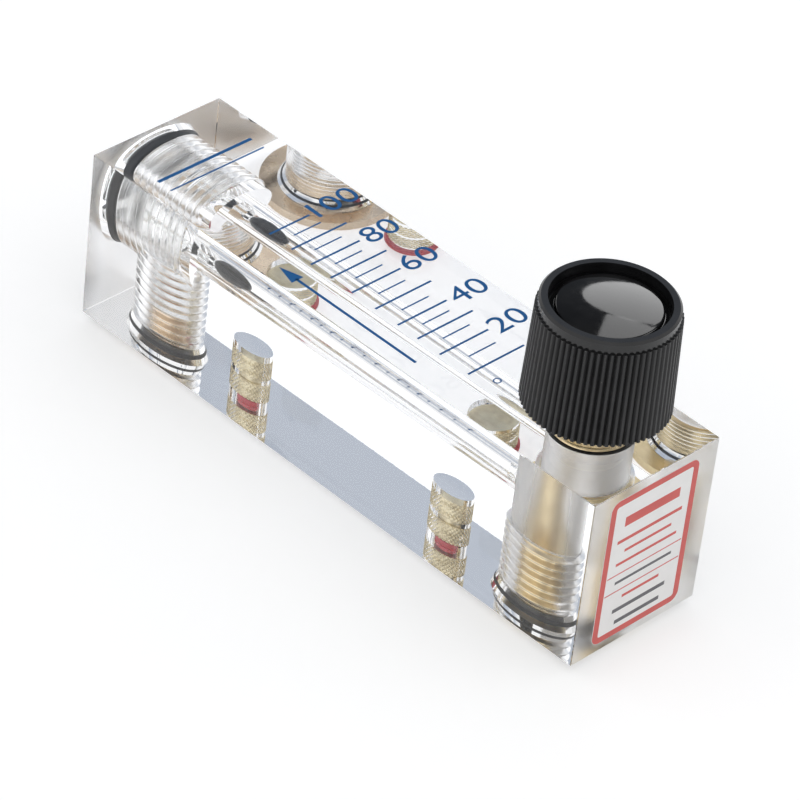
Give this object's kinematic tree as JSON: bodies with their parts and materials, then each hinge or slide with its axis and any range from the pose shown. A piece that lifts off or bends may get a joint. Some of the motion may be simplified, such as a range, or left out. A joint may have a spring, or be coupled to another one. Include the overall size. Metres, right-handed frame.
{
  "type": "rotameter",
  "caption": "Clear acrylic block rotameter with a tapered tube and float, rear ports, panel inserts and a fluted needle-valve knob.",
  "frame": {"origin": "below the centre of the block's back face, in the plane of the port flanges that it lies on", "axes": "+Z out of the scale face, +X along the tube towards the inlet and its valve, +Y across the block"},
  "size_m": [0.1041, 0.0254, 0.0525],
  "materials": {
    "clear_acrylic": "polished clear acrylic",
    "plug_acrylic": "polished clear acrylic",
    "adapter_brass": "turned brass",
    "valve_brass": "turned brass",
    "insert_brass": "knurled brass",
    "seal_rubber": "smooth black rubber",
    "stop_plastic": "clear moulded plastic",
    "seat_plastic": "white machined plastic",
    "pin_steel": "bright steel",
    "needle_steel": "ground stainless steel",
    "red_ring": "red fibre",
    "knob_plastic": "satin black moulding",
    "cap_plastic": "glossy black",
    "float_black": "polished black glass",
    "label_film": "white film with a red border"
  },
  "bodies": {
    "meter_body": {"block": "clear_acrylic", "end_plug": "plug_acrylic", "plug_o_ring": "seal_rubber", "outlet_adapter": "adapter_brass", "outlet_o_ring": "seal_rubber", "outlet_float_stop": "stop_plastic", "inlet_float_stop": "stop_plastic", "valve_body": "valve_brass", "inlet_o_ring": "seal_rubber", "front_o_ring": "seal_rubber", "guide_pin": "pin_steel", "valve_seat": "seat_plastic", "stem_retaining_clip": "pin_steel", "bonnet_nut": "valve_brass", "outlet_side_insert": "insert_brass", "outlet_side_ring": "red_ring", "inlet_side_insert": "insert_brass", "inlet_side_ring": "red_ring", "end_label": "label_film"},
    "knob_assembly": {"knob": "knob_plastic", "knob_cap": "cap_plastic", "knob_screw": "pin_steel", "valve_stem": "valve_brass", "stem_o_ring": "seal_rubber"},
    "needle": {"needle": "needle_steel"},
    "float": {"float": "float_black"}
  },
  "joints": [
    {"name": "knob_spin", "type": "hinge", "parent": "meter_body", "child": "knob_assembly", "pos_m": [0.0391, 0, 0.0353], "axis": [0, 0, 1], "range_deg": [0, 2160]},
    {"name": "needle_travel", "type": "slide", "parent": "meter_body", "child": "needle", "axis": [0, 0, 1], "range_m": [0, 0.00382]},
    {"name": "float_slide", "type": "slide", "parent": "meter_body", "child": "float", "axis": [1, 0, 0], "range_m": [0, 0.0552]}
  ],
  "couplings": [
    {"joint": "needle_travel", "follows": "knob_spin", "m_per_rad": 0.00010106}
  ]
}
